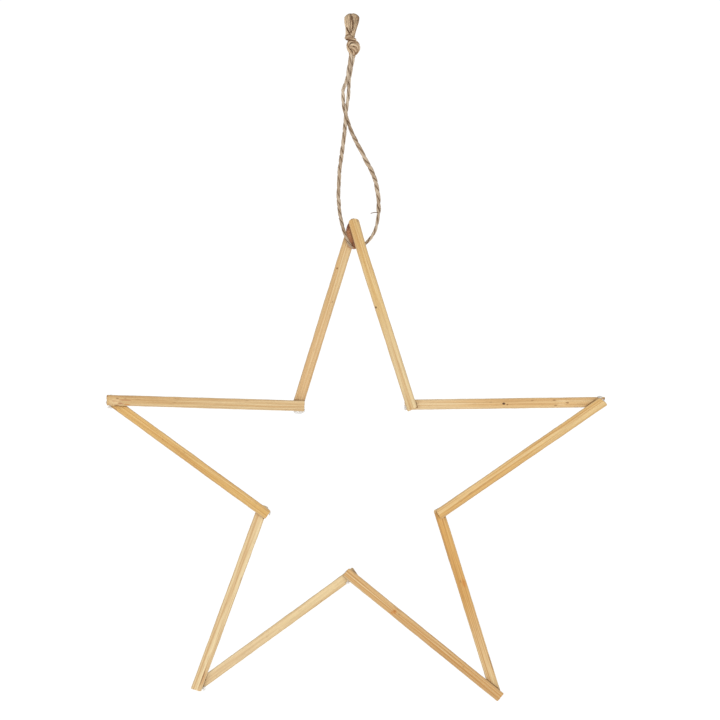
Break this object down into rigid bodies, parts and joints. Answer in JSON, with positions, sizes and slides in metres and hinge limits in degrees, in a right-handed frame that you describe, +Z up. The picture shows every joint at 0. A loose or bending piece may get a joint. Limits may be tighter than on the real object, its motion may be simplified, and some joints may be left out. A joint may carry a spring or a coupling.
{
  "type": "hanging star",
  "caption": "Star outline of flat bamboo slats glued where they cross, hung from its top point on a knotted loop of jute twine with frayed ends.",
  "frame": {"origin": "hang point, at the top of the twine's open loop, where a nail or hook carries the star", "axes": "+Z up, star in the XZ plane with its front towards -Y and its flat back towards +Y"},
  "size_m": [0.3007, 0.007, 0.412],
  "materials": {
    "straw_bamboo": "bare split bamboo, pale straw with fine lengthwise grain, satin",
    "golden_bamboo": "bare split bamboo, golden with pale and tan lengthwise streaks, satin",
    "honey_bamboo": "bare split bamboo, honey brown with orange lengthwise streaks, satin",
    "jute_twine": "two-ply natural jute, matt and slightly hairy",
    "clear_glue": "translucent hot glue, squeezed out at the joints, glossy"
  },
  "bodies": {
    "root": {"slat_top_right": "golden_bamboo", "slat_right_upper": "straw_bamboo", "slat_right_lower": "golden_bamboo", "slat_foot_right_outer": "honey_bamboo", "slat_foot_right_inner": "honey_bamboo", "slat_foot_left_inner": "straw_bamboo", "slat_foot_left_outer": "straw_bamboo", "slat_left_lower": "honey_bamboo", "slat_left_upper": "straw_bamboo", "slat_top_left": "straw_bamboo", "twine_loop": "jute_twine", "twine_knot": "jute_twine", "twine_end_left": "jute_twine", "twine_end_right": "jute_twine"}
  },
  "joints": []
}
